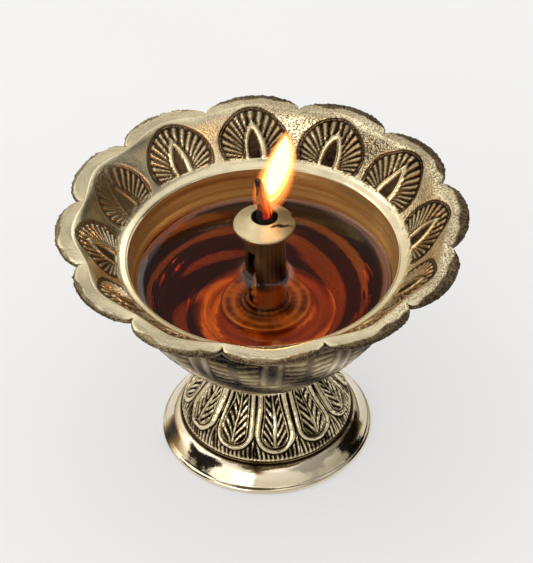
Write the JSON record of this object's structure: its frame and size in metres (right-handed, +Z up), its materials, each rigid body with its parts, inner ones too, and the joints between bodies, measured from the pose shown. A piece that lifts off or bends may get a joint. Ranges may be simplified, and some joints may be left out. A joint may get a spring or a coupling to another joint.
{
  "type": "brass oil lamp",
  "caption": "Low pedestal oil lamp of cast brass: a lotus bowl with a scalloped, engraved brim, an engraved stem on a polished foot, and a loose wick holder standing in the oil.",
  "frame": {"origin": "on the lamp's upright axis, in the plane of the foot's lower edge that it stands on", "axes": "+Z up along the axis of foot, stem and bowl; +X through the middle of a petal; -Y to the side shown in front"},
  "size_m": [0.11, 0.11, 0.0852],
  "materials": {
    "polished_brass": "turned and buffed to a mirror, lacquer free",
    "engraved_brass": "cast and chased, raised work rubbed bright, hollows left dark",
    "satin_brass": "turned, dull satin, heat stained",
    "plain_brass": "as cut on the lathe",
    "seat_leather": "oiled, pressed flat",
    "wick_cotton": "twisted, soaked in oil, charred at the top"
  },
  "bodies": {
    "pedestal": {"foot": "polished_brass", "stem": "engraved_brass", "stud": "plain_brass", "clamp_washer": "plain_brass", "clamp_nut": "plain_brass"},
    "seat_washer": {"seat_washer": "seat_leather"},
    "bowl": {"bowl": "engraved_brass"},
    "wick_holder": {"wick_base": "satin_brass", "wick_tube": "satin_brass"},
    "wick_cap": {"wick_cap": "satin_brass"},
    "wick": {"wick": "wick_cotton"}
  },
  "joints": [
    {"name": "bowl_turn", "type": "hinge", "parent": "pedestal", "child": "seat_washer", "pos_m": [0, 0, 0.0247], "axis": [0, 0, 1], "range_deg": [0, 1656]},
    {"name": "bowl_rise", "type": "slide", "parent": "seat_washer", "child": "bowl", "axis": [0, 0, 1], "range_m": [0, 0.0047]},
    {"name": "holder_lift", "type": "slide", "parent": "bowl", "child": "wick_holder", "axis": [0, 0, 1], "range_m": [0, 0.045]},
    {"name": "cap_lift", "type": "slide", "parent": "wick_holder", "child": "wick_cap", "axis": [0, 0, 1], "range_m": [0, 0.018]},
    {"name": "wick_feed", "type": "slide", "parent": "wick_holder", "child": "wick", "axis": [0, 0, 1], "range_m": [0, 0.02]}
  ],
  "couplings": [
    {"joint": "bowl_rise", "follows": "bowl_turn", "m_per_rad": 0.00015915}
  ]
}
